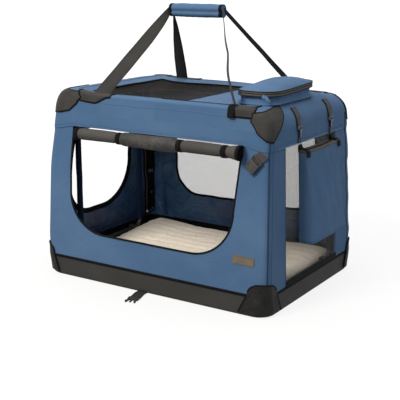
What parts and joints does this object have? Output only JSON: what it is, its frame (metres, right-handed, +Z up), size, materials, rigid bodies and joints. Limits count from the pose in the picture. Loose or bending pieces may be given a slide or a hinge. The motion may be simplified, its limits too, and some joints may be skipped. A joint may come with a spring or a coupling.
{
  "type": "soft folding dog crate",
  "caption": "Soft folding dog crate: cloth box on a folding steel frame, with roll-up doors, mesh windows, carry handle, top pocket and side bag",
  "frame": {"origin": "middle of the base, on the surface that the crate stands on", "axes": "+X along the long side towards the end with the bag, -Y towards the front door, +Z up"},
  "size_m": [0.7706, 0.5866, 0.756],
  "materials": {
    "cloth_blue": "woven polyester, matt",
    "cloth_dark": "coated woven polyester, slight sheen",
    "cloth_grey": "heavy woven polyester, matt",
    "net_black": "knitted mesh, matt",
    "net_grey": "knitted mesh, matt",
    "webbing": "woven webbing, matt",
    "fleece": "fleece pile",
    "board": "plain board",
    "steel": "smooth",
    "plastic": "moulded",
    "label": "bare, matt"
  },
  "bodies": {
    "base": {"base_tray": "cloth_dark", "base_frame": "steel", "floor_board": "board", "fleece_mat": "fleece", "wall_front": "cloth_blue", "wall_back": "cloth_blue", "wall_left": "cloth_blue", "wall_right": "cloth_blue", "net_back": "net_grey", "net_right": "net_grey", "boot_front_left": "cloth_grey", "boot_front_right": "cloth_grey", "boot_rear_left": "cloth_grey", "boot_rear_right": "cloth_grey", "saddle_front_left": "plastic", "saddle_front_right": "plastic", "saddle_rear_left": "plastic", "saddle_rear_right": "plastic", "label_blank": "label", "buckle_webbing": "webbing", "stow_strap": "webbing", "stow_buckle_male": "plastic"},
    "top": {"top_cover": "cloth_blue", "top_frame": "steel", "net_top": "net_black", "catch_front_left": "plastic", "catch_front_right": "plastic", "catch_rear_left": "plastic", "catch_rear_right": "plastic", "corner_patch_front_left": "cloth_grey", "corner_patch_front_right": "cloth_grey", "corner_patch_rear_left": "cloth_grey", "corner_patch_rear_right": "cloth_grey", "pocket_body": "cloth_blue", "handle_strap_front_left": "webbing", "handle_strap_front_right": "webbing", "handle_strap_rear_left": "webbing", "handle_strap_rear_right": "webbing"},
    "left_end": {"end_frame_left": "steel"},
    "right_end": {"end_frame_right": "steel"},
    "front_door": {"door_roll_front": "net_black", "door_tie_1": "cloth_dark", "door_tie_2": "cloth_dark", "door_tie_3": "cloth_dark", "door_tie_4": "cloth_dark"},
    "left_door": {"door_roll_left": "net_black"},
    "front_buckle": {"buckle_female": "plastic"},
    "lid": {"pocket_lid": "cloth_blue"},
    "zip_slider": {"pocket_zip_slider": "plastic"},
    "handle": {"handle_grip": "cloth_blue"},
    "bag_hanger": {"hanger_front": "webbing", "hanger_rear": "webbing", "snap_hook_front": "plastic", "snap_hook_rear": "plastic"},
    "side_bag": {"bag_body": "cloth_blue", "bag_zip_rim": "cloth_dark", "bag_tab_front": "webbing", "bag_tab_rear": "webbing"}
  },
  "joints": [
    {"name": "fold_down", "type": "slide", "parent": "base", "child": "top", "axis": [0, 0, -1], "range_m": [0, 0.375], "deforming": ["wall_front", "wall_back", "wall_left", "wall_right", "net_back", "net_right", "label_blank", "buckle_webbing"]},
    {"name": "left_end_fold", "type": "hinge", "parent": "base", "child": "left_end", "pos_m": [-0.325, 0, 0.05], "axis": [0, 1, 0], "range_deg": [0, 90.5]},
    {"name": "right_end_fold", "type": "hinge", "parent": "base", "child": "right_end", "pos_m": [0.325, 0, 0.05], "axis": [0, -1, 0], "range_deg": [0, 90.5]},
    {"name": "front_door_drop", "type": "slide", "parent": "base", "child": "front_door", "axis": [0, 0, -1], "range_m": [0, 0.3155]},
    {"name": "left_door_drop", "type": "slide", "parent": "base", "child": "left_door", "axis": [0, 0, -1], "range_m": [0, 0.3155]},
    {"name": "buckle_drop", "type": "slide", "parent": "base", "child": "front_buckle", "axis": [0, 0, -1], "range_m": [0, 0.2705]},
    {"name": "lid_hinge", "type": "hinge", "parent": "top", "child": "lid", "pos_m": [0.196, -0.042, 0.5426], "axis": [0, -1, 0], "range_deg": [0, 80]},
    {"name": "zip_slide", "type": "slide", "parent": "top", "child": "zip_slider", "axis": [-1, 0, 0], "range_m": [0, 0.066]},
    {"name": "handle_drop", "type": "slide", "parent": "top", "child": "handle", "axis": [0, 0, -1], "range_m": [0, 0.19], "deforming": ["handle_strap_front_left", "handle_strap_front_right", "handle_strap_rear_left", "handle_strap_rear_right"]},
    {"name": "bag_lift", "type": "hinge", "parent": "top", "child": "bag_hanger", "pos_m": [0.3189, 0.015, 0.507], "axis": [0, -1, 0], "range_deg": [0, 90.5]},
    {"name": "bag_swing", "type": "hinge", "parent": "bag_hanger", "child": "side_bag", "pos_m": [0.34395, 0.015, 0.4161], "axis": [0, -1, 0], "range_deg": [0, 60]}
  ],
  "couplings": [
    {"joint": "left_end_fold", "follows": "fold_down", "rad_per_m": 4.188},
    {"joint": "right_end_fold", "follows": "fold_down", "rad_per_m": 4.188},
    {"joint": "front_door_drop", "follows": "fold_down", "ratio": 0.84},
    {"joint": "left_door_drop", "follows": "fold_down", "ratio": 0.84},
    {"joint": "buckle_drop", "follows": "fold_down", "ratio": 0.72},
    {"joint": "bag_lift", "follows": "fold_down", "rad_per_m": 4.188}
  ]
}
